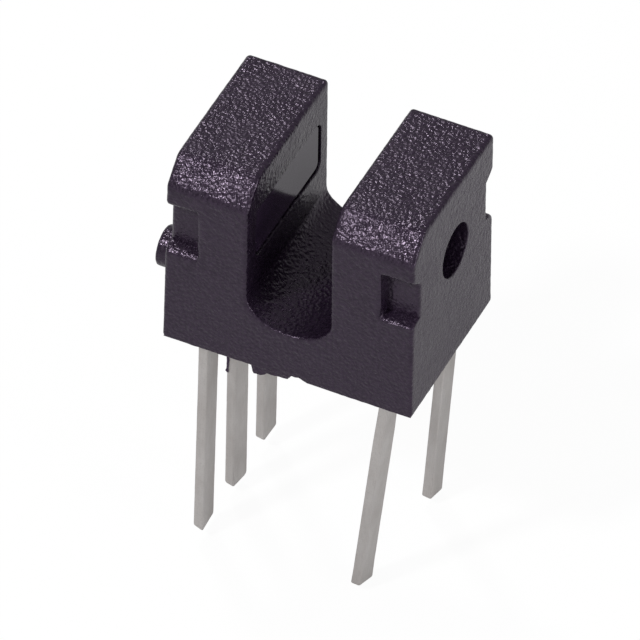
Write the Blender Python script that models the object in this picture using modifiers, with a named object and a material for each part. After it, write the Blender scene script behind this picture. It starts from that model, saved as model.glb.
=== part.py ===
"""Slotted optical sensor: a U-shaped moulded housing over an emitter and a detector.

Frame: origin at the middle of the housing's seating face, +Z up, the slot open at
the top and running front to back along Y. The detector arm is at -X with three
leads, and the emitter arm at +X with two.
"""
import math

import bmesh
import bpy
from mathutils import Euler, Vector

MM = 0.001

# Sides of the slot along X, and places along Y
DETECTOR = -1
EMITTER = 1
FRONT = -1
MIDDLE = 0
BACK = 1

# Fits between moulded resin and what it holds
MOULD_GAP = 0.10 * MM
INNER_GAP = 0.05 * MM
WINDOW_GAP = 0.16 * MM

# Leads and their frame, one plane in each arm
LEAD_PITCH = 2.54 * MM
LEAD_WIDTH = 0.98 * MM
LEAD_THICKNESS = 0.36 * MM
DETECTOR_LEAD_LENGTH = 9.05 * MM
EMITTER_LEAD_LENGTH = 9.22 * MM
LEAD_END_WALL = 0.25 * MM
TIP_CHAMFER = 0.12 * MM
BEND_DROP = 0.25 * MM
FRONT_DETECTOR_LEAN = math.radians(-0.1)
MIDDLE_DETECTOR_LEAN = math.radians(0.6)
FRONT_EMITTER_LEAN = math.radians(5.9)
BACK_EMITTER_LEAN = math.radians(3.6)

# Arms, from the outer face to the slot
OUTER_WALL = 0.66 * MM
DETECTOR_LEAD_COVER = 0.35 * MM
EMITTER_LEAD_COVER = 0.26 * MM
BODY_THICKNESS = 1.695 * MM
INNER_WALL = 0.60 * MM
SLOT_WIDTH = 3.22 * MM

# Heights, from the seating face up
WEB_HEIGHT = 1.94 * MM
FLOOR_CURVE = 1.04 * MM
SILL_HEIGHT = 1.29 * MM
WINDOW_HEIGHT = 2.30 * MM
HEAD_HEIGHT = 1.38 * MM
BODY_BASE = 1.30 * MM
BODY_HEAD = 0.25 * MM

# Outer form of the housing
FRONT_CHAMFER_RUN = 0.90 * MM
FRONT_CHAMFER_DROP = 0.96 * MM
EDGE_ROUND = 0.09 * MM
POCKET_WIDTH = 1.24 * MM
POCKET_DEPTH = 0.52 * MM
POCKET_WALL = 0.20 * MM
POCKET_SILL = 3.95 * MM
POCKET_SILL_RISE = 0.32 * MM
POCKET_HEIGHT = 2.35 * MM
POCKET_HEAD_DROP = 0.50 * MM
WINDOW_SIDE_WALL = 0.60 * MM
WINDOW_CORNER = 0.40 * MM
HOLE_RADIUS = 1.03 * MM
HOLE_SETBACK = 0.27 * MM
HOLE_DROP = 0.35 * MM
PEG_RADIUS = 0.81 * MM
PEG_LENGTH = 1.55 * MM
PEG_FOOT = 0.11 * MM
PEG_EDGE = 0.06 * MM
VESTIGE_LEFT = 1.40 * MM
VESTIGE_RIGHT = 0.10 * MM
VESTIGE_DROP = 0.36 * MM
VESTIGE_DEPTH = 0.55 * MM

# Lead frame inside the resin bodies
FOOT_LOW = 0.40 * MM
FOOT_HEIGHT = 0.50 * MM
POST_WIDTH = 0.68 * MM
POST_COVER = 0.20 * MM
POST_TOP_DROP = 0.20 * MM
NECK_WIDTH = 0.60 * MM
PADDLE_WIDTH = 1.70 * MM
PADDLE_HEIGHT = 1.90 * MM
EMITTER_PAD_WIDTH = 1.10 * MM
EMITTER_PAD_HEIGHT = 1.10 * MM

# Chips and bond wires
DETECTOR_CHIP = 1.10 * MM
EMITTER_CHIP = 0.40 * MM
CHIP_THICKNESS = 0.25 * MM
BOND_INSET = 0.18 * MM
WIRE_RADIUS = 0.025 * MM
WIRE_GAP = 0.03 * MM
WIRE_BOW = 0.12 * MM
WIRE_BOW_SHARE = 0.10
WIRE_POINTS = 9

# Worked out from the sizes above
HALF_DEPTH = LEAD_PITCH + LEAD_WIDTH / 2 + LEAD_END_WALL
ARM_WIDTH = OUTER_WALL + MOULD_GAP + BODY_THICKNESS + MOULD_GAP + INNER_WALL
HALF_SLOT = SLOT_WIDTH / 2
HALF_WIDTH = HALF_SLOT + ARM_WIDTH
WALL_START = WEB_HEIGHT + FLOOR_CURVE
WINDOW_LOW = WALL_START + SILL_HEIGHT
WINDOW_TOP = WINDOW_LOW + WINDOW_HEIGHT
HEIGHT = WINDOW_TOP + HEAD_HEIGHT
AXIS_HEIGHT = WINDOW_LOW + WINDOW_HEIGHT / 2
WINDOW_HALF = HALF_DEPTH - WINDOW_SIDE_WALL
BODY_HALF = HALF_DEPTH - POCKET_DEPTH - POCKET_WALL - MOULD_GAP
BODY_TOP = WINDOW_TOP + BODY_HEAD
BODY_BACK = HALF_WIDTH - OUTER_WALL - MOULD_GAP
BODY_FACE = BODY_BACK - BODY_THICKNESS
PAD_FACE = HALF_SLOT + INNER_GAP
PAD_ROOT = BODY_FACE + BODY_THICKNESS / 4
LEAD_BACK = {DETECTOR: BODY_BACK - DETECTOR_LEAD_COVER, EMITTER: BODY_BACK - EMITTER_LEAD_COVER}
LEAD_FACE = {side: back - LEAD_THICKNESS for side, back in LEAD_BACK.items()}
LEAD_TIP = {DETECTOR: -DETECTOR_LEAD_LENGTH, EMITTER: -EMITTER_LEAD_LENGTH}
POST_OUTER = BODY_HALF - POST_COVER
POST_INNER = POST_OUTER - POST_WIDTH
POST_TOP = AXIS_HEIGHT - POST_TOP_DROP
PAST = 1.0 * MM
SAME_PLACE = 0.0005 * MM

SENSOR_NAME = "optical_sensor"
ROUND_STEPS = 40
FLOOR_STEPS = 24
CORNER_STEPS = 5
FACING_FRONT = Euler((math.pi / 2, 0.0, 0.0))
FACING_SIDE = Euler((math.pi / 2, 0.0, math.pi / 2))

# Name, arm, shape of the inner end, place along Y, and lean of the leg towards the other arm
LEADS = (
    ("supply_lead", DETECTOR, "post", FRONT, FRONT_DETECTOR_LEAN),
    ("ground_lead", DETECTOR, "paddle", MIDDLE, MIDDLE_DETECTOR_LEAN),
    ("output_lead", DETECTOR, "post", BACK, 0.0),
    ("anode_lead", EMITTER, "post", FRONT, FRONT_EMITTER_LEAN),
    ("cathode_lead", EMITTER, "pad", BACK, BACK_EMITTER_LEAN),
)


def clear_scene():
    """Remove every object, mesh, curve and material that the file starts with."""
    for thing in list(bpy.data.objects):
        bpy.data.objects.remove(thing, do_unlink=True)
    for store in (bpy.data.meshes, bpy.data.curves, bpy.data.materials):
        for block in list(store):
            store.remove(block)


def new_collection(name):
    collection = bpy.data.collections.new(name)
    bpy.context.scene.collection.children.link(collection)
    return collection


def plastic_or_metal(name, colour, roughness, metallic=0.0):
    """One Principled material with the part's own colour."""
    material = bpy.data.materials.new(name)
    material.use_nodes = True
    shader = material.node_tree.nodes["Principled BSDF"]
    shader.inputs["Base Color"].default_value = (*colour, 1.0)
    shader.inputs["Roughness"].default_value = roughness
    shader.inputs["Metallic"].default_value = metallic
    return material


def link_part(piece, material, origin):
    """File a finished piece under the sensor and hang it on the sensor's origin."""
    parts.objects.link(piece)
    piece.data.materials.clear()
    piece.data.materials.append(material)
    piece.parent = origin
    return piece


def link_cutter(piece):
    cutters.objects.link(piece)
    piece.hide_render = True
    piece.display_type = "WIRE"
    return piece


def box(name, low, high):
    """A cube primitive stretched between two corners, its origin at its middle."""
    low = Vector(low)
    high = Vector(high)
    shape = bmesh.new()
    bmesh.ops.create_cube(shape, size=1.0)
    bmesh.ops.scale(shape, vec=high - low, verts=shape.verts)
    mesh = bpy.data.meshes.new(name)
    shape.to_mesh(mesh)
    shape.free()
    piece = bpy.data.objects.new(name, mesh)
    piece.location = (low + high) / 2
    return piece


def side_cylinder(name, radius, start, end, y, z):
    """A cylinder along X from start to end."""
    shape = bmesh.new()
    bmesh.ops.create_cone(shape, cap_ends=True, segments=ROUND_STEPS,
                          radius1=radius, radius2=radius, depth=abs(end - start))
    mesh = bpy.data.meshes.new(name)
    shape.to_mesh(mesh)
    shape.free()
    piece = bpy.data.objects.new(name, mesh)
    piece.location = ((start + end) / 2, y, z)
    piece.rotation_euler = Euler((0.0, math.pi / 2, 0.0))
    smooth_rounds(piece)
    return piece


def smooth_rounds(piece):
    """Shade round walls smooth and keep the real corners sharp."""
    piece.data.shade_smooth()
    piece.data.set_sharp_from_angle(angle=math.radians(40))


def is_flat(face):
    """Whether a face lies in a plane of its curve, as an extruded outline's caps do."""
    heights = [vertex.co.z for vertex in face.verts]
    return max(heights) - min(heights) < SAME_PLACE


def curve_to_piece(name, curve, whole_caps=False):
    """Turn a curve's evaluated form into a closed mesh object in the same place.

    whole_caps joins the triangles that fill an outline into one face on each side.
    """
    scene_collection = bpy.context.scene.collection
    scene_collection.objects.link(curve)
    bpy.context.view_layer.update()
    evaluated = curve.evaluated_get(bpy.context.evaluated_depsgraph_get())
    mesh = bpy.data.meshes.new_from_object(evaluated)
    mesh.name = name
    matrix = curve.matrix_world.copy()
    curve_data = curve.data
    bpy.data.objects.remove(curve, do_unlink=True)
    bpy.data.curves.remove(curve_data)
    shape = bmesh.new()
    shape.from_mesh(mesh)
    bmesh.ops.remove_doubles(shape, verts=shape.verts, dist=SAME_PLACE)
    if whole_caps:
        inner = [edge for edge in shape.edges if all(is_flat(face) for face in edge.link_faces)]
        bmesh.ops.dissolve_edges(shape, edges=inner, use_verts=False)
    bmesh.ops.recalc_face_normals(shape, faces=shape.faces)
    shape.to_mesh(mesh)
    shape.free()
    piece = bpy.data.objects.new(name, mesh)
    piece.matrix_world = matrix
    return piece


def outline_piece(name, points, thickness, location, rotation):
    """A flat outline filled and extruded evenly to both sides of its plane."""
    data = bpy.data.curves.new(name, "CURVE")
    data.dimensions = "2D"
    data.fill_mode = "BOTH"
    data.extrude = thickness / 2
    spline = data.splines.new("POLY")
    spline.points.add(len(points) - 1)
    for point, (u, v) in zip(spline.points, points):
        point.co = (u, v, 0.0, 1.0)
    spline.use_cyclic_u = True
    curve = bpy.data.objects.new(name, data)
    curve.location = location
    curve.rotation_euler = rotation
    return curve_to_piece(name, curve, whole_caps=True)


def tube(name, points, radius):
    """A round wire through the points."""
    data = bpy.data.curves.new(name, "CURVE")
    data.dimensions = "3D"
    data.bevel_depth = radius
    data.bevel_resolution = 2
    data.use_fill_caps = True
    spline = data.splines.new("POLY")
    spline.points.add(len(points) - 1)
    for point, place in zip(spline.points, points):
        point.co = (*place, 1.0)
    piece = curve_to_piece(name, bpy.data.objects.new(name, data))
    smooth_rounds(piece)
    return piece


def join_by(piece, tool, operation):
    """Add a Boolean modifier, named for its tool, that cuts or unites."""
    modifier = piece.modifiers.new(tool.name, "BOOLEAN")
    modifier.operation = operation
    modifier.solver = "EXACT"
    modifier.object = link_cutter(tool)


def cut(piece, tool):
    join_by(piece, tool, "DIFFERENCE")


def unite(piece, tool):
    join_by(piece, tool, "UNION")


def round_edges(piece, width, segments=2):
    """A Bevel on the sharp edges only, so that curved walls keep their facets."""
    modifier = piece.modifiers.new("rounded_edges", "BEVEL")
    modifier.width = width
    modifier.segments = segments
    modifier.limit_method = "ANGLE"
    modifier.angle_limit = math.radians(35)


def housing_outline():
    """The U seen from the front: two arms and a floor that is half an ellipse."""
    points = [(-HALF_WIDTH, 0.0), (HALF_WIDTH, 0.0), (HALF_WIDTH, HEIGHT), (HALF_SLOT, HEIGHT)]
    for step in range(FLOOR_STEPS + 1):
        angle = math.pi * step / FLOOR_STEPS
        across = HALF_SLOT * math.cos(angle)
        points.append((across, WALL_START - FLOOR_CURVE * math.sin(angle)))
    points.append((-HALF_SLOT, HEIGHT))
    points.append((-HALF_WIDTH, HEIGHT))
    return points


def chamfer_cutter():
    """A wedge that slopes the front of both arm tops."""
    slope = FRONT_CHAMFER_DROP / FRONT_CHAMFER_RUN
    front = -HALF_DEPTH
    points = [(front - PAST, HEIGHT - FRONT_CHAMFER_DROP - slope * PAST),
              (front + FRONT_CHAMFER_RUN + PAST, HEIGHT + slope * PAST),
              (front - PAST, HEIGHT + slope * PAST)]
    return outline_piece("front_chamfer", points, 2 * HALF_WIDTH + 2 * PAST,
                         (0.0, 0.0, 0.0), FACING_SIDE)


def pocket_cutter(name, side, end):
    """A corner recess whose sill slopes down outwards and whose head slopes up."""
    sill_slope = POCKET_SILL_RISE / POCKET_DEPTH
    head_slope = POCKET_HEAD_DROP / POCKET_DEPTH
    inner = HALF_DEPTH - POCKET_DEPTH
    outer = HALF_DEPTH + PAST
    points = [(end * inner, POCKET_SILL + POCKET_SILL_RISE),
              (end * outer, POCKET_SILL - sill_slope * PAST),
              (end * outer, POCKET_SILL + POCKET_HEIGHT + head_slope * PAST),
              (end * inner, POCKET_SILL + POCKET_HEIGHT - POCKET_HEAD_DROP)]
    middle = side * (HALF_WIDTH - POCKET_WIDTH / 2 + PAST / 2)
    return outline_piece(name, points, POCKET_WIDTH + PAST, (middle, 0.0, 0.0), FACING_SIDE)


def gate_vestige():
    """What is left of the moulding gate: an uneven lump under the front edge."""
    points = [(-VESTIGE_LEFT, EDGE_ROUND * 2), (-0.91 * VESTIGE_LEFT, -VESTIGE_DROP),
              (-0.72 * VESTIGE_LEFT, -0.94 * VESTIGE_DROP), (-0.56 * VESTIGE_LEFT, -0.50 * VESTIGE_DROP),
              (-0.16 * VESTIGE_LEFT, -0.40 * VESTIGE_DROP), (0.30 * VESTIGE_RIGHT, -0.28 * VESTIGE_DROP),
              (VESTIGE_RIGHT, EDGE_ROUND * 2)]
    middle = -HALF_DEPTH + EDGE_ROUND / 2 + VESTIGE_DEPTH / 2
    return outline_piece("gate_vestige", points, VESTIGE_DEPTH, (0.0, middle, 0.0), FACING_FRONT)


def window_outline(gap):
    """The window's outline in Y and Z, its corners round, drawn in by a gap all round."""
    radius = WINDOW_CORNER - gap
    across = WINDOW_HALF - WINDOW_CORNER
    low = WINDOW_LOW + WINDOW_CORNER
    top = WINDOW_TOP - WINDOW_CORNER
    points = []
    for quarter, (y, z) in enumerate(((across, top), (-across, top), (-across, low), (across, low))):
        for step in range(CORNER_STEPS + 1):
            angle = math.pi / 2 * (quarter + step / CORNER_STEPS)
            points.append((y + radius * math.cos(angle), z + radius * math.sin(angle)))
    return points


def window_block(name, side, near, far, gap):
    """A block in the window's outline that runs along X between two distances from the middle."""
    middle = side * (near + far) / 2
    return outline_piece(name, window_outline(gap), far - near, (middle, 0.0, 0.0), FACING_SIDE)


def side_leg(side, direction, grow):
    """Outline of an outer lead's leg up to its foot, as (Y, Z) points from the foot round.

    direction is the end of the arm that the lead stands at, and grow moves every
    edge outwards, which gives the space that the resin leaves for the lead.
    """
    inner = LEAD_PITCH - LEAD_WIDTH / 2 - grow
    outer = LEAD_PITCH + LEAD_WIDTH / 2 + grow
    tip = LEAD_TIP[side] - grow
    foot_top = FOOT_LOW + FOOT_HEIGHT + grow
    points = [(inner, FOOT_LOW - grow), (inner, -BEND_DROP), (inner, tip + TIP_CHAMFER),
              (inner + TIP_CHAMFER, tip), (outer - TIP_CHAMFER, tip), (outer, tip + TIP_CHAMFER),
              (outer, -BEND_DROP), (outer, foot_top)]
    return [(direction * y, z) for y, z in points]


def post_lead_outline(side, direction, grow):
    """An outer lead that ends in a plain post beside the chip."""
    inner = POST_INNER - grow
    outer = POST_OUTER + grow
    head = [(outer, FOOT_LOW + FOOT_HEIGHT + grow), (outer, POST_TOP + grow),
            (inner, POST_TOP + grow), (inner, FOOT_LOW - grow)]
    return side_leg(side, direction, grow) + [(direction * y, z) for y, z in head]


def pad_lead_outline(side, direction, grow):
    """An outer lead whose post turns in to a pad on the optical axis."""
    post_inner = POST_INNER - grow
    post_outer = POST_OUTER + grow
    pad_edge = -EMITTER_PAD_WIDTH / 2 - grow
    pad_low = AXIS_HEIGHT - EMITTER_PAD_HEIGHT / 2 - grow
    pad_top = AXIS_HEIGHT + EMITTER_PAD_HEIGHT / 2 + grow
    head = [(post_outer, FOOT_LOW + FOOT_HEIGHT + grow), (post_outer, pad_top), (pad_edge, pad_top),
            (pad_edge, pad_low), (post_inner, pad_low), (post_inner, FOOT_LOW - grow)]
    return side_leg(side, direction, grow) + [(direction * y, z) for y, z in head]


def paddle_lead_outline(side, grow):
    """The middle lead: a leg, a neck and the paddle that carries the detector chip."""
    leg = LEAD_WIDTH / 2 + grow
    neck = NECK_WIDTH / 2 + grow
    paddle = PADDLE_WIDTH / 2 + grow
    tip = LEAD_TIP[side] - grow
    shoulder = FOOT_LOW + FOOT_HEIGHT + grow
    low = AXIS_HEIGHT - PADDLE_HEIGHT / 2 - grow
    top = AXIS_HEIGHT + PADDLE_HEIGHT / 2 + grow
    half = [(leg - TIP_CHAMFER, tip), (leg, tip + TIP_CHAMFER), (leg, -BEND_DROP), (leg, shoulder),
            (neck, shoulder), (neck, low), (paddle, low), (paddle, top)]
    return half + [(-y, z) for y, z in reversed(half)]


def lead_piece(name, side, outline, grow=0.0, lean=0.0):
    """A lead cut from flat strip, bent inwards by lean where it leaves the housing."""
    middle = side * (LEAD_BACK[side] + LEAD_FACE[side]) / 2
    piece = outline_piece(name, outline, LEAD_THICKNESS + 2 * grow, (middle, 0.0, 0.0), FACING_SIDE)
    for vertex in piece.data.vertices:
        below = max(0.0, -BEND_DROP - vertex.co.y)
        vertex.co.z -= side * math.tan(lean) * below
    return piece


def chip_box(name, side, size, grow=0.0):
    """A chip on the slot side of the lead frame, centred on the optical axis."""
    back = LEAD_FACE[side] - INNER_GAP
    low = min(side * back, side * (back - CHIP_THICKNESS))
    high = max(side * back, side * (back - CHIP_THICKNESS))
    half = size / 2 + grow
    return box(name, (low - grow, -half, AXIS_HEIGHT - half), (high + grow, half, AXIS_HEIGHT + half))


def wire_points(side, start, end):
    """A bond loop from the chip's face to a lead's face, bowed towards the slot."""
    chip_face = LEAD_FACE[side] - INNER_GAP - CHIP_THICKNESS
    stand_off = WIRE_GAP + WIRE_RADIUS
    from_x = chip_face - stand_off
    to_x = LEAD_FACE[side] - stand_off
    bow = WIRE_BOW + WIRE_BOW_SHARE * math.dist(start, end)
    points = []
    for step in range(WIRE_POINTS):
        t = step / (WIRE_POINTS - 1)
        x = from_x + (to_x - from_x) * t ** 3 - bow * math.sin(math.pi * t)
        y = start[0] + (end[0] - start[0]) * t
        z = start[1] + (end[1] - start[1]) * t
        points.append((side * x, y, z))
    return points


def resin_body(name, side, leads, chips, wires):
    """A moulded resin body with its window pad, hollowed for the frame it holds."""
    body = box(name, (min(side * BODY_BACK, side * BODY_FACE), -BODY_HALF, BODY_BASE),
               (max(side * BODY_BACK, side * BODY_FACE), BODY_HALF, BODY_TOP))
    unite(body, window_block(name + "_pad", side, PAD_FACE, PAD_ROOT, WINDOW_GAP))
    for tool in leads + chips + wires:
        cut(body, tool)
    return body


def housing(leads):
    """The outer moulding with its slot, recesses, holes and the spaces for both bodies."""
    shell = outline_piece("housing", housing_outline(), 2 * HALF_DEPTH, (0.0, 0.0, 0.0), FACING_FRONT)
    cut(shell, chamfer_cutter())
    round_edges(shell, EDGE_ROUND)
    for side, arm in ((DETECTOR, "detector"), (EMITTER, "emitter")):
        for end, place in ((FRONT, "front"), (BACK, "back")):
            cut(shell, pocket_cutter(f"{arm}_{place}_pocket", side, end))
        cut(shell, body_space(arm + "_body_space", side))
        cut(shell, window_block(arm + "_window", side, HALF_SLOT - PAST / 2, PAD_ROOT + MOULD_GAP, 0.0))
        cut(shell, side_cylinder(arm + "_side_hole", HOLE_RADIUS, side * (HALF_WIDTH + PAST),
                                 side * BODY_BACK, HOLE_SETBACK, AXIS_HEIGHT - HOLE_DROP))
    for tool in leads:
        cut(shell, tool)
    peg = side_cylinder("locating_peg", PEG_RADIUS, -HALF_WIDTH - PEG_LENGTH,
                        -HALF_WIDTH + OUTER_WALL / 2, 0.0, PEG_FOOT + PEG_RADIUS)
    round_edges(peg, PEG_EDGE)
    unite(shell, peg)
    unite(shell, gate_vestige())
    return shell


def body_space(name, side):
    """The hollow that the housing is moulded with around a resin body."""
    low = min(side * (BODY_BACK + MOULD_GAP), side * (BODY_FACE - MOULD_GAP))
    high = max(side * (BODY_BACK + MOULD_GAP), side * (BODY_FACE - MOULD_GAP))
    return box(name, (low, -BODY_HALF - MOULD_GAP, BODY_BASE - MOULD_GAP),
               (high, BODY_HALF + MOULD_GAP, BODY_TOP + MOULD_GAP))


def lead_outline(side, kind, direction, grow):
    if kind == "paddle":
        return paddle_lead_outline(side, grow)
    if kind == "pad":
        return pad_lead_outline(side, direction, grow)
    return post_lead_outline(side, direction, grow)


def lead_tools(side, grow, use):
    """Grown copies of one arm's leads, unbent, as cutters for the resin around them."""
    tools = []
    for name, lead_side, kind, direction, _ in LEADS:
        if lead_side == side:
            outline = lead_outline(side, kind, direction, grow)
            tools.append(lead_piece(f"{name}_{use}", side, outline, grow))
    return tools


def wire_routes():
    """Where each bond wire starts on its chip and lands on its lead, in Y and Z."""
    chip_edge = DETECTOR_CHIP / 2 - BOND_INSET
    post = POST_INNER + POST_WIDTH / 2
    landing = POST_TOP - POST_WIDTH / 2
    paddle_edge = PADDLE_HEIGHT / 2 - (PADDLE_HEIGHT - DETECTOR_CHIP) / 4
    return {
        "supply_wire": (DETECTOR, (-chip_edge, AXIS_HEIGHT), (-post, landing)),
        "output_wire": (DETECTOR, (chip_edge, AXIS_HEIGHT), (post, landing)),
        "ground_wire": (DETECTOR, (0.0, AXIS_HEIGHT + chip_edge), (0.0, AXIS_HEIGHT + paddle_edge)),
        "anode_wire": (EMITTER, (0.0, AXIS_HEIGHT), (-post, landing)),
    }


clear_scene()
parts = new_collection(SENSOR_NAME)
cutters = new_collection("cutters")
sensor_origin = bpy.data.objects.new("sensor_origin", None)
parts.objects.link(sensor_origin)

black_moulding = plastic_or_metal("black_moulding", (0.045, 0.038, 0.052), 0.55)
dark_resin = plastic_or_metal("dark_resin", (0.020, 0.014, 0.026), 0.15)
tinned_strip = plastic_or_metal("tinned_strip", (0.47, 0.44, 0.42), 0.42, 0.9)
silicon = plastic_or_metal("silicon", (0.16, 0.17, 0.22), 0.25, 0.3)
gold_wire = plastic_or_metal("gold_wire", (0.85, 0.60, 0.22), 0.25, 1.0)

for lead_name, lead_side, lead_kind, lead_end, lead_lean in LEADS:
    lead_shape = lead_outline(lead_side, lead_kind, lead_end, 0.0)
    lead = lead_piece(lead_name, lead_side, lead_shape, lean=lead_lean)
    link_part(lead, tinned_strip, sensor_origin)

link_part(chip_box("detector_chip", DETECTOR, DETECTOR_CHIP), silicon, sensor_origin)
link_part(chip_box("emitter_chip", EMITTER, EMITTER_CHIP), silicon, sensor_origin)

routes = wire_routes()
for wire_name, (wire_side, wire_start, wire_end) in routes.items():
    loop = wire_points(wire_side, wire_start, wire_end)
    link_part(tube(wire_name, loop, WIRE_RADIUS), gold_wire, sensor_origin)

ARMS = ((DETECTOR, "detector", DETECTOR_CHIP), (EMITTER, "emitter", EMITTER_CHIP))
for arm_side, arm_name, chip_size in ARMS:
    wire_tools = []
    for wire_name, (wire_side, wire_start, wire_end) in routes.items():
        if wire_side == arm_side:
            loop = wire_points(wire_side, wire_start, wire_end)
            wire_tools.append(tube(wire_name + "_space", loop, WIRE_RADIUS + WIRE_GAP))
    chip_tools = [chip_box(arm_name + "_chip_space", arm_side, chip_size, INNER_GAP)]
    body = resin_body(arm_name + "_body", arm_side, lead_tools(arm_side, INNER_GAP, "space"),
                      chip_tools, wire_tools)
    link_part(body, dark_resin, sensor_origin)

housing_leads = lead_tools(DETECTOR, MOULD_GAP, "channel") + lead_tools(EMITTER, MOULD_GAP, "channel")
link_part(housing(housing_leads), black_moulding, sensor_origin)
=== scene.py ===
"""Slotted optical sensor: the finished look of its moulding, resin, leads and chips.

Every length is in millimetres until it reaches a mesh, a lamp or the camera. The origin
is the middle of the housing's seat, +Z is up, and the slot runs along Y.
"""
import math

import bmesh
import bpy
import numpy as np
from mathutils import Matrix, Vector


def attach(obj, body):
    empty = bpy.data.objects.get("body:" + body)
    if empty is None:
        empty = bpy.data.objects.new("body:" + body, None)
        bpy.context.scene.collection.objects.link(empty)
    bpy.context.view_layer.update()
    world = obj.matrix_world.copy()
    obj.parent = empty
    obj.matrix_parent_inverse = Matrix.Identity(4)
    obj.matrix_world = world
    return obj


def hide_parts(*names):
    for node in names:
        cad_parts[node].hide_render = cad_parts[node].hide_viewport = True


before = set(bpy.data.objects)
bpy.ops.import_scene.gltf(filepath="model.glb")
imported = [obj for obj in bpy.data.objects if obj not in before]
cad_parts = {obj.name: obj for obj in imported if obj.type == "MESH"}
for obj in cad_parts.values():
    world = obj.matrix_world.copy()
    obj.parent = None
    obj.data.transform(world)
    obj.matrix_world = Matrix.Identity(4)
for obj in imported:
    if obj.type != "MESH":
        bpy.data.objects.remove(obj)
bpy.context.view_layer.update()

MM = 0.001

# Sides of the slot along X, and places along Y
DETECTOR = -1
EMITTER = 1
FRONT = -1
MIDDLE = 0
BACK = 1

# Housing, at its solid's sizes but for small changes seen in the photograph
HALF_WIDTH = 4.765
HALF_DEPTH = 3.28
HALF_SLOT = 1.61
HEIGHT = 7.95
WALL_START = 2.98
FLOOR_CURVE = 1.04
EDGE_LOW = 0.045
EDGE_HIGH = 0.17
EDGE_GROWTH = 0.35
CHAMFER_RUN = 0.90
CHAMFER_DROP = 0.96
CHAMFER_FADE = (6.45, 7.60)
CREASE_ROUND = 0.11
DRAFT_X = 0.01045
DRAFT_Y = 0.02139
SEAT_DROP = 0.07
INNER_LEAN = 0.06
INNER_LEAN_NEAR = 0.2
INNER_LEAN_FAR = 0.6
POCKET_INNER = HALF_WIDTH - 1.24
POCKET_DEPTH = 0.52
POCKET_HEIGHTS = {
    (DETECTOR, FRONT): (3.80, 4.14, 5.80, 6.30),
    (DETECTOR, BACK): (3.95, 4.35, 6.13, 6.49),
    (EMITTER, FRONT): (4.02, 4.22, 5.80, 6.30),
    (EMITTER, BACK): (3.95, 4.35, 6.13, 6.49),
}
POCKET_EASE = 1.6
HEAD_ROUND = 0.3
WINDOW_LOW = 4.27
WINDOW_TOP = 6.45
WINDOW_FRONT = -2.55
WINDOW_BACK = 2.65
WINDOW_CORNER = 0.34
WINDOW_REACH = 2.83
WINDOW_RINGS = (2.3, 1.9)
WINDOW_PAST = 1.2
HOLE_HEIGHT = 4.995
HOLE_RADIUS = 1.03
HOLE_SETBACK = 0.17
HOLE_END = 4.005
HOLE_PAST = 0.4
LIP_ROUND = 0.04
PEG_RADIUS = 0.745
PEG_HEIGHT = 0.90
PEG_LENGTH = 1.58
PEG_ROOT = 0.35
PEG_RIM = 0.07
BODY_NEAR = 2.31
BODY_FAR = 4.005
BODY_HALF = 2.46
BODY_BASE = 1.30
BODY_TOP = 6.82
MOULD_GAP = 0.10
GRID = 0.085
CORNER_POINTS = 5
WALL_SLANT = 0.02
WELD = 0.002
MOULD_RELIEF = 0.007
MOULD_GRAIN = 0.13

# Leads, and the floor under them
LEAD_PLACE = 2.54
LEAD_HALF_WIDTH = 0.49
LEAD_HALF_THICKNESS = 0.18
LEAD_CORNER = 0.06
LEAD_PLANE = {DETECTOR: -3.475, EMITTER: 3.565}
LEAD_LENGTH = {DETECTOR: 9.05, EMITTER: 9.22}
SLIVER_LENGTH = 3.80
BEND_DROP = 0.25
BEND_END = 0.4
BEND_ROUND = 0.15
TWIST_END = 2.5
LEAD_FOOT = 0.40
LEAD_STEP = 0.12
CUT_REACH = 0.9
FLOOR_HEIGHT = -9.60

# Camera, fitted to the corners and outline of the housing in the photograph
CAMERA_PITCH = 0.75029
CAMERA_YAW = 0.43552
CAMERA_ROLL = 0.01509
CAMERA_PLACE = (273.644, -588.744, 605.032)
CAMERA_LENS = 1427.46


def grid_quads(rows, columns, closed=False):
    """Quads of a grid of rows by columns, joined end to end along its columns if closed."""
    row = np.arange(rows - 1)[:, None]
    column = np.arange(columns if closed else columns - 1)[None, :]
    after = (column + 1) % columns
    corners = (row * columns + column, row * columns + after,
               (row + 1) * columns + after, (row + 1) * columns + column)
    return np.stack(np.broadcast_arrays(*corners), -1).reshape(-1, 4)


class Surface:
    """Grids of points, gathered into one mesh and welded where their edges meet."""

    def __init__(self):
        self.points = []
        self.quads = []
        self.count = 0

    def add(self, grid, closed=False):
        """Take one grid of points, rows by columns by 3."""
        rows, columns = grid.shape[:2]
        self.quads.append(grid_quads(rows, columns, closed) + self.count)
        self.points.append(grid.reshape(-1, 3))
        self.count += rows * columns
        return self

    def mesh(self, name):
        """The welded mesh, with its faces turned outwards."""
        mesh = bpy.data.meshes.new(name)
        mesh.from_pydata(np.concatenate(self.points) * MM, [], np.concatenate(self.quads))
        shape = bmesh.new()
        shape.from_mesh(mesh)
        bmesh.ops.remove_doubles(shape, verts=shape.verts, dist=WELD * MM)
        bmesh.ops.recalc_face_normals(shape, faces=shape.faces)
        shape.to_mesh(mesh)
        shape.free()
        return mesh


def steps(marks, spacing):
    """Places along a line that hold every mark and lie no further apart than spacing."""
    marks = np.unique(np.round(np.asarray(marks, float), 6))
    parts = [np.linspace(a, b, max(2, int(math.ceil((b - a) / spacing)) + 1))[:-1]
             for a, b in zip(marks[:-1], marks[1:])]
    return np.concatenate(parts + [marks[-1:]])


def around(*places):
    """Both foot and brow of a near upright wall at each place."""
    return [place + shift for place in places for shift in (-WALL_SLANT, 0.0, WALL_SLANT)]


def ease(values):
    """A smooth step from 0 to 1: three times the square less twice the cube, held at its ends."""
    values = np.clip(values, 0.0, 1.0)
    return values * values * (3.0 - 2.0 * values)


def ramp(values, start, end):
    """From 0 at start to 1 at end, in a straight line, and level outside them."""
    return np.clip((values - start) / (end - start), 0.0, 1.0)


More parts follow.
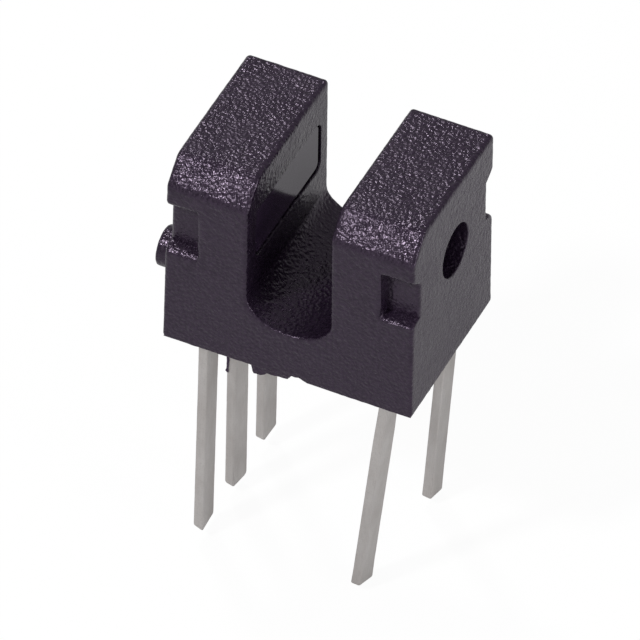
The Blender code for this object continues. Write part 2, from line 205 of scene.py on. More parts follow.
def hash_noise(cells, seed):
    """A number from 0 to 1 for each cell of a whole-number lattice, from its sine hash."""
    wave = np.sin(cells @ np.array([127.1, 311.7, 74.7]) + seed * 19.19) * 43758.5453
    return wave - np.floor(wave)


def lattice_noise(points, size, seed):
    """Smooth noise from -1 to 1: lattice values of that cell size, eased between corners."""
    scaled = points / size
    base = np.floor(scaled)
    part = ease(scaled - base)
    total = np.zeros(len(points))
    for corner in np.ndindex(2, 2, 2):
        offset = np.array(corner, float)
        weight = np.prod(np.where(offset > 0, part, 1.0 - part), axis=1)
        total += weight * hash_noise(base + offset, seed)
    return total * 2.0 - 1.0


def places_of(mesh):
    """A mesh's vertices in millimetres, one row for each."""
    points = np.empty(len(mesh.vertices) * 3)
    mesh.vertices.foreach_get("co", points)
    return points.reshape(-1, 3) / MM


def put_places(mesh, points):
    """Move a mesh's vertices to the rows of points."""
    mesh.vertices.foreach_set("co", (points * MM).ravel())
    mesh.update()
    return mesh


def roughen(mesh, height, size, seed):
    """Move each vertex along its normal by height times two sizes of lattice noise."""
    points = places_of(mesh)
    normals = np.empty(len(mesh.vertices) * 3)
    mesh.vertex_normals.foreach_get("vector", normals)
    relief = lattice_noise(points, size, seed) + 0.5 * lattice_noise(points, size * 2.3, seed + 5)
    return put_places(mesh, points + normals.reshape(-1, 3) * (height * relief)[:, None])


def drafted(mesh):
    """Widen a mesh towards the seat, as the mould's draft does, and draw its lowest edge down.

    Each point moves outwards by its place times the draft times how low and how far to
    the front it is. Points further out than the walls move as far as the walls do.
    """
    points = places_of(mesh)
    low = np.clip(1.0 - points[:, 2] / HEIGHT, 0.0, 1.05)
    front = np.clip(0.5 - points[:, 1] / (2.0 * HALF_DEPTH), 0.0, 1.0)
    points[:, 0] += np.clip(points[:, 0], -HALF_WIDTH, HALF_WIDTH) * DRAFT_X * low * front
    points[:, 1] += np.minimum(points[:, 1], 0.0) * DRAFT_Y * low
    points[:, 2] -= SEAT_DROP * low ** 4 * front
    inner_wall = ramp(points[:, 0], HALF_SLOT + INNER_LEAN_FAR, HALF_SLOT + INNER_LEAN_NEAR)
    inner_wall *= points[:, 0] > 0
    points[:, 0] -= INNER_LEAN * ramp(points[:, 2], WALL_START, HEIGHT) * inner_wall
    return put_places(mesh, points)


def combine(mesh, tool, operation):
    """The mesh joined with, or cut by, a tool mesh."""
    body = bpy.data.objects.new("combined", mesh)
    helper = bpy.data.objects.new("helper", tool)
    for piece in (body, helper):
        bpy.context.scene.collection.objects.link(piece)
    modifier = body.modifiers.new("combine", "BOOLEAN")
    modifier.operation = operation
    modifier.solver = "MANIFOLD"
    modifier.object = helper
    bpy.context.view_layer.update()
    graph = bpy.context.evaluated_depsgraph_get()
    result = bpy.data.meshes.new_from_object(body.evaluated_get(graph))
    for piece in (body, helper):
        bpy.data.objects.remove(piece, do_unlink=True)
    return result


def show(name, mesh, material, slot, *nodes):
    """Put a mesh in the scene as a piece of the sensor, in place of the named solids."""
    piece = bpy.data.objects.new(name, mesh)
    bpy.context.scene.collection.objects.link(piece)
    mesh.materials.clear()
    mesh.materials.append(material)
    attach(piece, "root")
    if nodes:
        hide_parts(*nodes)


def smooth(mesh, angle):
    """Shade smooth, apart from edges that turn by more than the angle in degrees."""
    mesh.shade_smooth()
    mesh.set_sharp_from_angle(angle=math.radians(angle))
    return mesh


def ring_template(along_first, along_second):
    """A rounded rectangle's ring, as side signs and outward directions for each point.

    Four quarter turns, with the two counts of steps on the
    straight sides between them.
    """
    corners = np.array([(1, 1), (-1, 1), (-1, -1), (1, -1)], float)
    signs, turns = [], []
    for index, corner in enumerate(corners):
        angle = np.linspace(index * np.pi / 2, (index + 1) * np.pi / 2, CORNER_POINTS)
        arc = np.stack([np.cos(angle), np.sin(angle)], -1)
        count = (along_first, along_second)[index % 2]
        share = np.linspace(0.0, 1.0, count + 1)[1:-1][:, None]
        signs += [np.tile(corner, (CORNER_POINTS, 1)),
                  corner * (1 - share) + corners[(index + 1) % 4] * share]
        turns += [arc, np.tile(arc[-1], (len(share), 1))]
    return np.concatenate(signs), np.concatenate(turns)


def carried_rectangle(along, first, second, corner, counts):
    """A rounded rectangle carried along a line: its two widths, then the way along.

    first and second are pairs of edge places, one pair for each place along. A point is
    the rectangle's middle, plus its side signs times the half sizes less the corner
    radius, plus the corner radius in the corner's direction.
    """
    signs, turns = ring_template(*counts)
    grid = np.empty((len(along), len(signs), 3))
    for column, (low_edge, high_edge) in enumerate((first, second)):
        low_edge, high_edge, radius = (np.broadcast_to(v, along.shape)[:, None]
                                       for v in (low_edge, high_edge, corner))
        half = (high_edge - low_edge) / 2
        middle = (low_edge + high_edge) / 2
        grid[..., column] = middle + signs[:, column] * (half - radius) + radius * turns[:, column]
    grid[..., 2] = along[:, None]
    return grid


def shut(grid):
    """The grid with both end rings drawn in to their middles, which closes them."""
    first, last = grid[0], grid[-1]
    starts = [first.mean(0) + (first - first.mean(0)) * share for share in (0.0, 0.5)]
    ends = [last.mean(0) + (last - last.mean(0)) * share for share in (0.5, 0.0)]
    return np.concatenate([np.array(starts), grid, np.array(ends)])


def edge_round(heights):
    """The radius of the housing's edges, which grows from the seat to the arm tops."""
    return EDGE_LOW + (EDGE_HIGH - EDGE_LOW) * ramp(heights, EDGE_LOW, HEIGHT - EDGE_HIGH) ** EDGE_GROWTH


def outline_halves():
    """Inset outline of the U, as matched outer and inner points with outward normals.

    Both run from the left arm's top, round under the slot, to the right arm's top. In
    the arms a pair shares one height. Under the slot the inner point runs along a half
    ellipse while the outer one runs down, along the bottom and up at an even pace.
    """
    marks = [WALL_START, *CHAMFER_FADE, HEIGHT - EDGE_HIGH]
    for low, sill, head, high in POCKET_HEIGHTS.values():
        marks += [*(low + (sill - low) * np.sin(np.linspace(0.0, np.pi / 2, 7))), head, high]
    heights = steps(marks, GRID)[::-1]
    down = len(heights)
    outer_arm = np.stack([-HALF_WIDTH + edge_round(heights), heights], -1)
    inner_arm = np.stack([-HALF_SLOT - edge_round(heights), heights], -1)
    side = WALL_START - EDGE_LOW
    bottom = HALF_WIDTH - EDGE_LOW
    paces = np.concatenate([steps([0.0, side], GRID), side + steps([0.0, bottom], GRID)[1:]])[1:]
    on_side = paces < side
    down_side = -HALF_WIDTH + edge_round(WALL_START - paces)
    outer_web = np.stack([np.where(on_side, down_side, paces - side - bottom),
                          np.where(on_side, WALL_START - paces, EDGE_LOW)], -1)
    angle = np.pi - 0.5 * np.pi * paces / paces[-1]
    slope = np.stack([np.cos(angle) / HALF_SLOT, -np.sin(angle) / FLOOR_CURVE], -1)
    slope /= np.linalg.norm(slope, axis=1)[:, None]
    inner_web = np.stack([HALF_SLOT * np.cos(angle), WALL_START - FLOOR_CURVE * np.sin(angle)], -1)
    inner_web += slope * edge_round(inner_web[:, 1])[:, None]
    web_normal = np.where(on_side[:, None], [-1.0, 0.0], [0.0, -1.0])
    halves = (np.concatenate([outer_arm, outer_web]),
              np.concatenate([np.tile([-1.0, 0.0], (down, 1)), web_normal]),
              np.concatenate([inner_arm, inner_web]),
              np.concatenate([np.tile([1.0, 0.0], (down, 1)), -slope]))
    return [np.concatenate([half, half[-2::-1] * [-1.0, 1.0]]) for half in halves]


def turned_corner(point, start, end):
    """One inset corner point repeated while its normal turns from start to end."""
    first = math.atan2(start[1], start[0])
    swing = (math.atan2(end[1], end[0]) - first + math.pi) % (2 * math.pi) - math.pi
    turn = first + np.linspace(0.0, swing, CORNER_POINTS)
    return np.tile(point, (CORNER_POINTS, 1)), np.stack([np.cos(turn), np.sin(turn)], -1)


def belt_outline(outer, outer_normal, inner, inner_normal, shares):
    """The whole closed outline as points and normals, with its corners turned."""
    low_left = int(np.argmax(outer_normal[:, 1] < -0.5)) - 1
    low_right = len(outer) - 1 - low_left
    right_top = outer[-1] + (inner[-1] - outer[-1]) * (1.0 - shares[-2:0:-1])[:, None]
    left_top = inner[0] + (outer[0] - inner[0]) * shares[1:-1][:, None]
    up = np.tile([0.0, 1.0], (len(right_top), 1))
    level = np.tile([0.0, -1.0], (low_right - low_left - 1, 1))
    stretches = [
        (outer[:low_left], outer_normal[:low_left]),
        turned_corner(outer[low_left], (-1, 0), (0, -1)),
        (outer[low_left + 1:low_right], level),
        turned_corner(outer[low_right], (0, -1), (1, 0)),
        (outer[low_right + 1:-1], outer_normal[low_right + 1:-1]),
        turned_corner(outer[-1], (1, 0), (0, 1)),
        (right_top, up),
        turned_corner(inner[-1], (0, 1), (-1, 0)),
        (inner[-2:0:-1], inner_normal[-2:0:-1]),
        turned_corner(inner[0], (1, 0), (0, 1)),
        (left_top, up),
        turned_corner(outer[0], (0, 1), (-1, 0)),
    ]
    return [np.concatenate(column) for column in zip(*stretches)]


def pocket_share(z, heights):
    """How far in a pocket stands at a height, from 0 to 1.

    Its sill is a quarter of an ellipse, level at its inner end. Its head is a hyperbola,
    straight at its inner end and upright where it meets the face.
    """
    low, sill, head, high = heights
    over_sill = 1.0 - np.sqrt(1.0 - ramp(z, low, sill) ** 2)
    under_head = np.sqrt(ramp(z, high, head) ** 2 + HEAD_ROUND ** 2) - HEAD_ROUND
    return np.minimum(over_sill, under_head / (math.sqrt(1.0 + HEAD_ROUND ** 2) - HEAD_ROUND))


def pocket_and_slope(grid):
    """Push in the four corner pockets and slope the front of both arm tops.

    A pocket moves the end face inwards by its share at that height, and eases out along
    the side. A slope lowers the top by how far a point stands in front of its brow.
    """
    x, y, z = grid[..., 0], grid[..., 1], grid[..., 2]
    pocket = np.zeros_like(x)
    for (side, end), heights in POCKET_HEIGHTS.items():
        pocket += pocket_share(z, heights) * (side * x > 0) * (end * y > 0)
    pocket *= ramp(np.abs(x), POCKET_INNER - WALL_SLANT, POCKET_INNER + WALL_SLANT)
    near_end = ramp(np.abs(y), POCKET_EASE, HALF_DEPTH - EDGE_HIGH)
    y = y - np.sign(y) * POCKET_DEPTH * pocket * near_end
    in_front = CHAMFER_RUN - (y + HALF_DEPTH)
    drop = 0.5 * (in_front + np.sqrt(in_front * in_front + CREASE_ROUND ** 2)) * CHAMFER_DROP / CHAMFER_RUN
    return np.stack([x, y, z - drop * ramp(z, *CHAMFER_FADE)], -1)


def housing_skin():
    """The U as one closed skin: a belt round the outline, rounded rims and two end faces.

    The belt carries the outline along Y. Each rim is a quarter circle turned round the
    inset outline. Each end face is ruled between the outer and the inner outline.
    """
    outer, outer_normal, inner, inner_normal = outline_halves()
    across = steps([HALF_SLOT + EDGE_HIGH, HALF_WIDTH - EDGE_HIGH, *around(POCKET_INNER)], GRID)
    shares = (across - across[0]) / (across[-1] - across[0])
    points, normals = belt_outline(outer, outer_normal, inner, inner_normal, shares)
    radius = edge_round(points[:, 1])
    run = HALF_DEPTH - radius
    brow = (CHAMFER_RUN - HALF_DEPTH) / (HALF_DEPTH - EDGE_HIGH)
    along = steps([-1.0, 1.0, brow], GRID / HALF_DEPTH)
    turn = np.linspace(0.0, np.pi / 2, 6)
    skin = points + normals * radius[:, None]
    belt = np.empty((len(along), len(skin), 3))
    belt[..., 0] = skin[None, :, 0]
    belt[..., 1] = along[:, None] * run
    belt[..., 2] = skin[None, :, 1]
    surface = Surface().add(pocket_and_slope(belt), closed=True)
    for end in (FRONT, BACK):
        rim = np.empty((len(turn), len(skin), 3))
        bent = points[None] + normals[None] * (radius * np.cos(turn)[:, None])[..., None]
        rim[..., 0] = bent[..., 0]
        rim[..., 1] = end * (run + radius * np.sin(turn)[:, None])
        rim[..., 2] = bent[..., 1]
        surface.add(pocket_and_slope(rim), closed=True)
        face = np.empty((len(shares), len(outer), 3))
        ruled = inner[None] + (outer - inner)[None] * shares[:, None, None]
        face[..., 0] = ruled[..., 0]
        face[..., 1] = end * HALF_DEPTH
        face[..., 2] = ruled[..., 1]
        surface.add(pocket_and_slope(face))
    return surface.mesh("housing_skin")


def turned_along_x(profile, y, z, side):
    """A solid of revolution about an X axis, from pairs of distance and radius."""
    angle = np.linspace(0.0, 2 * np.pi, 96, endpoint=False)
    distance, radius = np.array(profile, float).T
    grid = np.empty((len(distance), len(angle), 3))
    grid[..., 0] = side * distance[:, None]
    grid[..., 1] = y + radius[:, None] * np.cos(angle)
    grid[..., 2] = z + radius[:, None] * np.sin(angle)
    return grid


def side_peg():
    """The side peg: a turned profile, flat at its end with a worn rim."""
    end = HALF_WIDTH + PEG_LENGTH
    wall = [(x, PEG_RADIUS) for x in np.linspace(HALF_WIDTH - PEG_ROOT, end - PEG_RIM - 0.01, 24)]
    turn = np.linspace(0.0, np.pi / 2, 6)
    rim = [(end - PEG_RIM * (1 - math.sin(a)), PEG_RADIUS - PEG_RIM * (1 - math.cos(a)))
           for a in turn]
    face = [(end, radius) for radius in np.linspace(PEG_RADIUS - PEG_RIM, 0.0, 9)[1:]]
    profile = [(HALF_WIDTH - PEG_ROOT, 0.0)] + wall + rim + face
    return Surface().add(turned_along_x(profile, 0.0, PEG_HEIGHT, DETECTOR), closed=True).mesh("peg")


def pin_hole(side):
    """Room for a round hole in an arm's outer face, which widens round its lip."""
    turn = np.linspace(0.0, np.pi / 2, 6)
    lip = [(HALF_WIDTH - LIP_ROUND * (1 - math.sin(a)), HOLE_RADIUS + LIP_ROUND * (1 - math.cos(a)))
           for a in turn]
    outside = HALF_WIDTH + HOLE_PAST
    profile = [(HOLE_END, 0.0), (HOLE_END, HOLE_RADIUS)] + lip
    profile += [(outside, HOLE_RADIUS + LIP_ROUND), (outside, 0.0)]
    return Surface().add(turned_along_x(profile, HOLE_SETBACK, HOLE_HEIGHT, side), closed=True).mesh("hole")


def window_opening(side):
    """Room for a window: a round-cornered rectangle carried along X, which widens round its lip."""
    turn = np.linspace(0.0, np.pi / 2, 5)
    distance = np.concatenate([[WINDOW_REACH, *WINDOW_RINGS],
                               HALF_SLOT + LIP_ROUND * (1 - np.sin(turn)), [WINDOW_PAST]])
    widen = np.concatenate([[0.0, 0.0, 0.0], LIP_ROUND * (1 - np.cos(turn)), [LIP_ROUND]])
    grid = carried_rectangle(side * distance, (WINDOW_FRONT - widen, WINDOW_BACK + widen),
                             (WINDOW_LOW - widen, WINDOW_TOP + widen), WINDOW_CORNER + widen, (40, 16))
    return Surface().add(shut(grid[..., [2, 0, 1]]), closed=True).mesh("window")


def body_room(side):
    """Room for a resin body inside an arm: a rectangle carried along X, a gap larger than the body."""
    distance = np.array([BODY_NEAR - MOULD_GAP, BODY_FAR + MOULD_GAP])
    half = BODY_HALF + MOULD_GAP
    grid = carried_rectangle(side * distance, (-half, half),
                             (BODY_BASE - MOULD_GAP, BODY_TOP + MOULD_GAP), 0.02, (1, 1))
    return Surface().add(shut(grid[..., [2, 0, 1]]), closed=True).mesh("body_room")


def gate_lump():
    """What is left of the gate: a rectangle carried along X whose underside follows a torn line."""
    along = steps([-1.40, -1.27, -1.01, -0.78, -0.22, 0.10], 0.05)
    bottom = np.interp(along, [-1.40, -1.34, -1.27, -1.01, -0.90, -0.78, -0.22, 0.03, 0.10],
                       [0.02, -0.22, -0.36, -0.34, -0.29, -0.18, -0.145, -0.10, 0.05])
    back = -HALF_DEPTH + np.interp(along, [-1.40, -1.20, -0.30, 0.10], [0.35, 0.56, 0.48, 0.25])
    grid = carried_rectangle(along, (-HALF_DEPTH + 0.03, back), (bottom, 0.25), 0.035, (8, 8))
    return Surface().add(shut(grid[..., [2, 0, 1]]), closed=True).mesh("gate_lump")


def gate_notch():
    """Where the gate tore a sliver off the edge: a rectangle carried along X with a ragged roof."""
    along = steps([0.10, 0.18, 0.45, 0.62, 0.86], 0.05)
    top = np.interp(along, [0.10, 0.18, 0.30, 0.45, 0.62, 0.86], [0.04, 0.13, 0.11, 0.15, 0.08, 0.0])
    back = -HALF_DEPTH + np.interp(along, [0.10, 0.2, 0.5, 0.86], [0.10, 0.24, 0.20, 0.06])
    grid = carried_rectangle(along, (-HALF_DEPTH - 0.3, back), (-0.3, top), 0.03, (8, 8))
    return Surface().add(shut(grid[..., [2, 0, 1]]), closed=True).mesh("gate_notch")


# Heights and edges of each kind of lead above the foot, as height, inner edge, outer edge
POST = [(0.40, 1.58, 3.03), (0.90, 1.58, 3.03), (0.90, 1.58, 2.26), (5.22, 1.58, 2.26)]
PAD = [(0.40, 1.58, 3.03), (0.90, 1.58, 3.03), (0.90, 1.58, 2.26), (4.87, 1.58, 2.26),
       (4.87, -0.55, 2.26), (5.97, -0.55, 2.26)]
PADDLE = [(0.90, -0.49, 0.49), (0.90, -0.30, 0.30), (4.47, -0.30, 0.30), (4.47, -0.85, 0.85),
          (6.37, -0.85, 0.85)]

# Arm, place along Y and inner end, then how the leg bends (jog along X in millimetres, lean and
# twist in degrees) and how it was cut off (added length, round, slopes through and across it)
LEADS = {
    "supply_lead": (DETECTOR, FRONT, POST, (0.08, -0.90, 1.5), (0.02, 0.12, -0.55, 0.085)),
    "ground_lead": (DETECTOR, MIDDLE, PADDLE, (0.03, -0.30, -3.9), (0.24, 0.25, -0.25, -0.11)),
    "output_lead": (DETECTOR, BACK, POST, (0.0, -0.38, -1.1), (0.03, 0.12, -0.20, 0.0)),
    "anode_lead": (EMITTER, FRONT, POST, (0.03, 6.00, -4.3), (0.20, 0.12, 0.0, -0.33)),
    "cathode_lead": (EMITTER, BACK, PAD, (0.0, 3.80, -0.4), (0.15, 0.12, -0.15, -0.31)),
}


def lead_surface(side, place, inner_end, bending, cut):
    """A lead stamped from strip: a rounded rectangle carried up Z from its tip.

    Its two edges are read from a line of heights, so a foot, post or paddle is a jump in
    them. The tip draws in along a quarter circle and slopes as it was cut. Below the bend
    the strip shifts by its jog and by the tangent of its lean times the depth, and turns
    slowly by its twist.
    """
    jog, lean, twist = bending
    added, tip_round, slope_through, slope_across = cut
    length = LEAD_LENGTH[side] + added
    leg = (-LEAD_HALF_WIDTH, LEAD_HALF_WIDTH)
    if place != MIDDLE:
        leg = (LEAD_PLACE - LEAD_HALF_WIDTH, LEAD_PLACE + LEAD_HALF_WIDTH)
    fall = tip_round * (1.0 - np.cos(np.linspace(0.0, np.pi / 2, 9)))
    heights = np.concatenate([fall - length,
                              steps([tip_round + 0.1 - length, -BEND_DROP, 0.0, LEAD_FOOT], LEAD_STEP)])
    low_edge = np.full_like(heights, leg[0])
    high_edge = np.full_like(heights, leg[1])
    above = np.array(inner_end)
    heights = np.concatenate([heights, above[:, 0]])
    low_edge = np.concatenate([low_edge, above[:, 1]])
    high_edge = np.concatenate([high_edge, above[:, 2]])
    if place == FRONT:
        low_edge, high_edge = -high_edge, -low_edge
    under = 1.0 - ramp(heights, -length, tip_round - length)
    pinch = tip_round * (1.0 - np.sqrt(1.0 - under * under))
    thin = 0.5 * pinch
    grid = carried_rectangle(heights, (low_edge + pinch, high_edge - pinch),
                             (thin - LEAD_HALF_THICKNESS, LEAD_HALF_THICKNESS - thin), LEAD_CORNER, (3, 10))
    y, x, z = grid[..., 0], grid[..., 1], grid[..., 2]
    depth = np.maximum(0.0, -z) - BEND_DROP
    bend = np.where(z < 0, 0.5 * (depth + np.sqrt(depth * depth + BEND_ROUND ** 2)), 0.0)
    turn = math.radians(twist) * ease(-z / TWIST_END)
    middle = place * LEAD_PLACE
    across = y - middle
    shift = jog * ease(-z / BEND_END) - side * math.tan(math.radians(lean)) * bend
    cut_slope = (slope_through * x + slope_across * across) * ramp(z, CUT_REACH - length, -length)
    bent = np.stack([LEAD_PLANE[side] + x * np.cos(turn) - across * np.sin(turn) + shift,
                     middle + x * np.sin(turn) + across * np.cos(turn),
                     z + cut_slope], -1)
    return Surface().add(shut(bent), closed=True)


def lead_room(side, place):
    """Room for a lead in the housing's floor: a rectangle carried up Z, a gap larger than the leg."""
    up = np.array([-0.6, 0.5, BODY_BASE])
    width = LEAD_HALF_WIDTH + MOULD_GAP
    thickness = LEAD_HALF_THICKNESS + MOULD_GAP
    middle = place * LEAD_PLACE
    grid = carried_rectangle(up, (LEAD_PLANE[side] - thickness, LEAD_PLANE[side] + thickness),
                             (middle - width, middle + width), 0.06, (1, 1))
    return Surface().add(shut(grid), closed=True).mesh("lead_room")


def resin_sliver():
    """Resin that bled down the middle lead's outer front edge: a rectangle carried down Z to a tooth."""
    share = np.linspace(0.0, 1.0, 90)
    edge = LEAD_PLANE[DETECTOR] - LEAD_HALF_THICKNESS + LEADS["ground_lead"][3][0] * ease(share * 3.0)
    tooth_size, tooth_place, tooth_spread = 0.03, 0.975, 0.012
    tooth = tooth_size * np.exp(-((share - tooth_place) / tooth_spread) ** 2)
    ragged = 0.008 * np.sin(share * 31.0) + 0.006 * np.sin(share * 83.0)
    inside = 0.065 - 0.03 * ease((share - 0.7) / 0.3) + ragged
    back = 0.20 - 0.14 * share + ragged
    through = (edge - 0.038 - tooth + ragged * 0.5, edge + inside)
    across = (-LEAD_HALF_WIDTH - 0.035 - tooth, -LEAD_HALF_WIDTH + back)
    grid = carried_rectangle(0.10 - SLIVER_LENGTH * share, through, across, 0.014, (2, 4))
    return Surface().add(shut(grid), closed=True).mesh("sliver")


class Term:
    """A node's output socket, which can stand in arithmetic."""

    def __init__(self, finish, socket):
        self.finish = finish
        self.socket = socket

    def maths(self, operation, first, second):
        return self.finish.node("ShaderNodeMath", {"operation": operation}, {0: first, 1: second})

    def __add__(self, other):
        return self.maths("ADD", self, other)

    def __mul__(self, other):
        return self.maths("MULTIPLY", self, other)

    __radd__ = __add__


class Finish:
    """One procedural material or world, built on Object coordinates."""

    def __init__(self, data):
        self.data = data
        self.data.use_nodes = True
        self.tree = self.data.node_tree

    def node(self, kind, settings=None, sockets=None, output=0):
        """Add a node: its settings first, then the values or links of its sockets."""
        made = self.tree.nodes.new(kind)
        for key, value in (settings or {}).items():
            setattr(made, key, value)
        for key, value in (sockets or {}).items():
            self.feed(made.inputs[key], value)
        return Term(self, made.outputs[output])

    def feed(self, socket, value):
        """Link a term to a socket, or set the socket's own value."""
        if isinstance(value, Term):
            self.tree.links.new(value.socket, socket)
        elif socket.type == "RGBA":
            socket.default_value = (*value, 1.0)
        else:
            socket.default_value = value

    def place(self, stretch=(1.0, 1.0, 1.0)):
        """Object coordinates in millimetres, times a stretch along each axis."""
        coordinates = self.node("ShaderNodeTexCoord", output="Object")
        return self.node("ShaderNodeMapping", {}, {"Vector": coordinates,
                                                   "Scale": tuple(v / MM for v in stretch)})

    def noise(self, where, size, detail=2.0, rough=0.5):
        """Noise from 0 to 1 whose lumps are about size millimetres across."""
        return self.node("ShaderNodeTexNoise", {}, {"Vector": where, "Scale": 1.0 / size,
                                                    "Detail": detail, "Roughness": rough})

    def cells(self, where, size):
        """Distance to the nearest of scattered points that stand about size apart."""
        return self.node("ShaderNodeTexVoronoi", {}, {"Vector": where, "Scale": 1.0 / size})

    def span(self, value, low_in, high_in, low_out, high_out):
        """Carry a value from one range to another, held at its ends."""
        return self.node("ShaderNodeMapRange", {}, {"Value": value, "From Min": low_in, "From Max": high_in,
                                                    "To Min": low_out, "To Max": high_out})

    def blend(self, factor, first, second):
        """A colour between two colours."""
        return self.node("ShaderNodeMix", {"data_type": "RGBA"}, {0: factor, 6: first, 7: second}, output=2)

    def bump(self, height, depth, strength=1.0):
        """A normal from a height, of which 1 stands for depth millimetres."""
        return self.node("ShaderNodeBump", {}, {"Height": height, "Distance": depth * MM,
                                                "Strength": strength})

    def seen(self, mirrored):
        """1 for what the camera sees, and a share of it for what mirrors and clear pieces show."""
        camera_ray = self.node("ShaderNodeLightPath", output="Is Camera Ray")
        glossy_ray = self.node("ShaderNodeLightPath", output="Is Glossy Ray")
        through_ray = self.node("ShaderNodeLightPath", output="Is Transmission Ray")
        return camera_ray + (glossy_ray + through_ray) * mirrored

    def surface(self, **sockets):
        """Set the Principled shader's sockets, named with underscores for spaces."""
        shader = self.tree.nodes["Principled BSDF"]
        for key, value in sockets.items():
            self.feed(shader.inputs[key.replace("_", " ")], value)
        return self.data


def moulded_black():
    """Near-black resin from a spark-eroded mould: pits and crumbs that glint on their slopes."""
    finish = Finish(bpy.data.materials.new("moulded_black"))
    where = finish.place()
    crumbs = finish.noise(where, 0.12, 0.8, 0.5)
    pits = finish.cells(where, 0.14)
    fine = finish.noise(where, 0.05, 2.0, 0.6)
    clouds = finish.noise(where, 1.6, 2.0, 0.5)
    facing = finish.node("ShaderNodeTexCoord", output="Normal")
    upward = finish.node("ShaderNodeSeparateXYZ", {}, {"Vector": facing}, output="Z")
    height = (crumbs + pits * 0.4 + fine * 0.04) * finish.span(upward, 0.1, 0.6, 0.55, 1.0)
    colour = finish.blend(finish.span(crumbs, 0.35, 0.68, 0.0, 1.0),
                          (0.008, 0.004, 0.011), (0.022, 0.013, 0.027))
    colour = finish.blend(finish.span(clouds, 0.3, 0.7, 0.0, 0.4), colour, (0.020, 0.013, 0.025))
    rough = finish.span(fine + clouds, 0.7, 1.3, 0.19, 0.34)
    return finish.surface(Base_Color=colour, Roughness=rough, Normal=finish.bump(height, 0.045),
                          Specular_IOR_Level=0.5, Specular_Tint=(0.93, 0.76, 1.0))


def polished_resin():
    """Polished dark resin, very slightly wavy where it flowed in the mould."""
    finish = Finish(bpy.data.materials.new("polished_resin"))
    flow = finish.noise(finish.place((1.0, 0.35, 1.0)), 1.1, 2.0, 0.4)
    specks = finish.noise(finish.place(), 0.06, 2.0, 0.6)
    colour = finish.blend(finish.span(flow, 0.3, 0.7, 0.0, 1.0), (0.024, 0.012, 0.034), (0.040, 0.022, 0.052))
    rough = finish.span(specks, 0.4, 0.75, 0.08, 0.18)
    return finish.surface(Base_Color=colour, Roughness=rough, Normal=finish.bump(flow, 0.010, 0.4),
                          Specular_IOR_Level=0.4, Specular_Tint=(0.93, 0.78, 1.0))


def tin_plate():
    """Matt tin over rolled strip: a soft grain along the strip and a dull, uneven film."""
    finish = Finish(bpy.data.materials.new("tin_plate"))
    grain = finish.noise(finish.place((1.0, 1.0, 0.10)), 0.06, 3.0, 0.6)
    crystals = finish.noise(finish.place(), 0.05, 2.0, 0.6)
    film = finish.noise(finish.place((1.0, 1.0, 0.5)), 0.9, 3.0, 0.6)
    colour = finish.blend(finish.span(film, 0.3, 0.75, 0.0, 1.0), (0.53, 0.50, 0.485), (0.64, 0.615, 0.605))
    colour = finish.blend(finish.span(crystals, 0.5, 0.8, 0.0, 0.35), colour, (0.34, 0.315, 0.30))
    rough = finish.span(grain, 0.3, 0.7, 0.40, 0.58)
    return finish.surface(Base_Color=colour, Metallic=0.9, Roughness=rough,
                          Normal=finish.bump(grain * 0.7 + crystals * 0.6, 0.012, 0.8))


def polished_silicon():
    """A polished chip: dark blue-grey with faint bands of its layers."""
    finish = Finish(bpy.data.materials.new("polished_silicon"))
    where = finish.place()
    bands = finish.node("ShaderNodeTexWave", {"bands_direction": "Y"},
                        {"Vector": where, "Scale": 3.0, "Distortion": 1.0})
    mottle = finish.noise(where, 0.12)
    colour = finish.blend(bands * 0.5 + mottle * 0.5, (0.10, 0.11, 0.16), (0.20, 0.21, 0.27))
    rough = finish.span(mottle, 0.3, 0.7, 0.16, 0.28)
    return finish.surface(Base_Color=colour, Metallic=0.3, Roughness=rough)


def drawn_gold():
    """Gold wire with fine draw lines."""
    finish = Finish(bpy.data.materials.new("drawn_gold"))
    lines = finish.noise(finish.place((1.0, 0.2, 1.0)), 0.01)
    colour = finish.blend(lines, (0.80, 0.55, 0.19), (0.90, 0.66, 0.27))
    return finish.surface(Base_Color=colour, Metallic=1.0, Roughness=finish.span(lines, 0.3, 0.7, 0.2, 0.32))


def white_board():
    """Plain white board, which keeps a trace of the shadow and otherwise shows as white."""
    finish = Finish(bpy.data.materials.new("white_board"))
    mottle = finish.noise(finish.place(), 6.0)
    finish.surface(Base_Color=finish.blend(mottle, (0.58, 0.58, 0.58), (0.61, 0.61, 0.61)), Roughness=0.8)
    glow = finish.node("ShaderNodeEmission", {}, {"Color": (1.0, 1.0, 1.0), "Strength": 1.05})
    shader = Term(finish, finish.tree.nodes["Principled BSDF"].outputs[0])
    mixed = finish.node("ShaderNodeMixShader", {}, {0: finish.seen(0.20) * 0.90, 1: shader, 2: glow})
    finish.feed(finish.tree.nodes["Material Output"].inputs["Surface"], mixed)
    return finish.data


def studio_world():
    """White where the camera sees it, and a plainer level of light for the rest."""
    sky = Finish(bpy.data.worlds.new("studio"))
    bpy.context.scene.world = sky.data
    background = sky.tree.nodes["Background"]
    sky.feed(background.inputs["Color"], (1.0, 1.0, 1.0))
    sky.feed(background.inputs["Strength"], 0.28 + sky.seen(0.10) * 0.72)


def refinish(material, *nodes):
    """Give solids that keep their shape a finished material."""
    for node in nodes:
        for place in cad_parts[node].material_slots:
            place.material = material


def lamp(name, place, size, watts):
    """A square soft lamp that faces the middle of the housing."""
    data = bpy.data.lights.new(name, "AREA")
    data.size = size * MM
    data.energy = watts
    made = bpy.data.objects.new(name, data)
    bpy.context.scene.collection.objects.link(made)
    made.location = Vector(place) * MM
    made.rotation_euler = (Vector((0.0, 0.0, 2.0)) - Vector(place)).to_track_quat("-Z", "Y").to_euler()


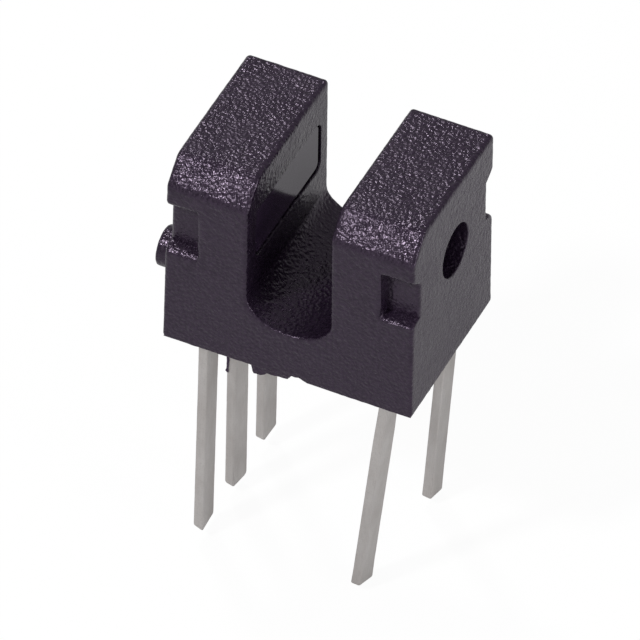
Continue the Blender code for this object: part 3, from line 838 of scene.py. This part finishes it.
def stage_floor():
    """A level square, 1.6 m across, just under the longest leads' tips."""
    across, along = np.meshgrid(np.linspace(-800.0, 800.0, 9), np.linspace(-800.0, 800.0, 9))
    mesh = Surface().add(np.stack([across, along, np.full_like(across, FLOOR_HEIGHT)], -1)).mesh("floor")
    if mesh.polygons[0].normal.z < 0:
        mesh.flip_normals()
    mesh.materials.append(white_board())
    floor = bpy.data.objects.new("floor", mesh)
    bpy.context.scene.collection.objects.link(floor)


def photo_camera():
    """The photograph's long lens, turned by its yaw, pitch and roll."""
    data = bpy.data.cameras.new("camera")
    data.lens = CAMERA_LENS
    data.sensor_width = 36.0
    data.clip_start = 0.01
    data.clip_end = 5.0
    camera = bpy.data.objects.new("camera", data)
    bpy.context.scene.collection.objects.link(camera)
    camera.matrix_world = (Matrix.Translation(Vector(CAMERA_PLACE) * MM)
                           @ Matrix.Rotation(CAMERA_YAW, 4, "Z")
                           @ Matrix.Rotation(math.pi / 2 - CAMERA_PITCH, 4, "X")
                           @ Matrix.Rotation(CAMERA_ROLL, 4, "Z"))
    bpy.context.scene.camera = camera


def finished_housing():
    """The skin with its peg and gate mark joined on and every opening cut."""
    housing = roughen(housing_skin(), MOULD_RELIEF, MOULD_GRAIN, 3)
    housing = combine(housing, roughen(side_peg(), MOULD_RELIEF, MOULD_GRAIN, 8), "UNION")
    housing = combine(housing, roughen(gate_lump(), 0.022, 0.15, 21), "UNION")
    rooms = [roughen(gate_notch(), 0.015, 0.12, 4)]
    for side in (DETECTOR, EMITTER):
        rooms += [pin_hole(side), window_opening(side), body_room(side)]
    rooms += [lead_room(side, place) for side, place, *_ in LEADS.values()]
    for room in rooms:
        housing = combine(housing, room, "DIFFERENCE")
    return smooth(drafted(housing), 50)


show("housing_finished", finished_housing(), moulded_black(), "black_moulding", "housing")

tin = tin_plate()
for lead_name, row in LEADS.items():
    strip = roughen(lead_surface(*row).mesh(lead_name + "_strip"), 0.0022, 0.21, len(lead_name))
    show(lead_name + "_finished", smooth(strip, 42), tin, "tinned_strip", lead_name)

resin = polished_resin()
show("resin_sliver", smooth(resin_sliver(), 40), resin, "dark_resin")
refinish(resin, "detector_body", "emitter_body")
refinish(polished_silicon(), "detector_chip", "emitter_chip")
refinish(drawn_gold(), "supply_wire", "output_wire", "ground_wire", "anode_wire")

stage_floor()
lamp("key_lamp", (-150, -280, 370), 45, 1.15)
lamp("back_lamp", (-203, 189, 355), 45, 0.46)
lamp("right_lamp", (380, -60, 90), 170, 0.52)
lamp("front_lamp", (20, -360, 120), 220, 0.12)
photo_camera()
studio_world()
bpy.context.scene.view_settings.view_transform = "Standard"
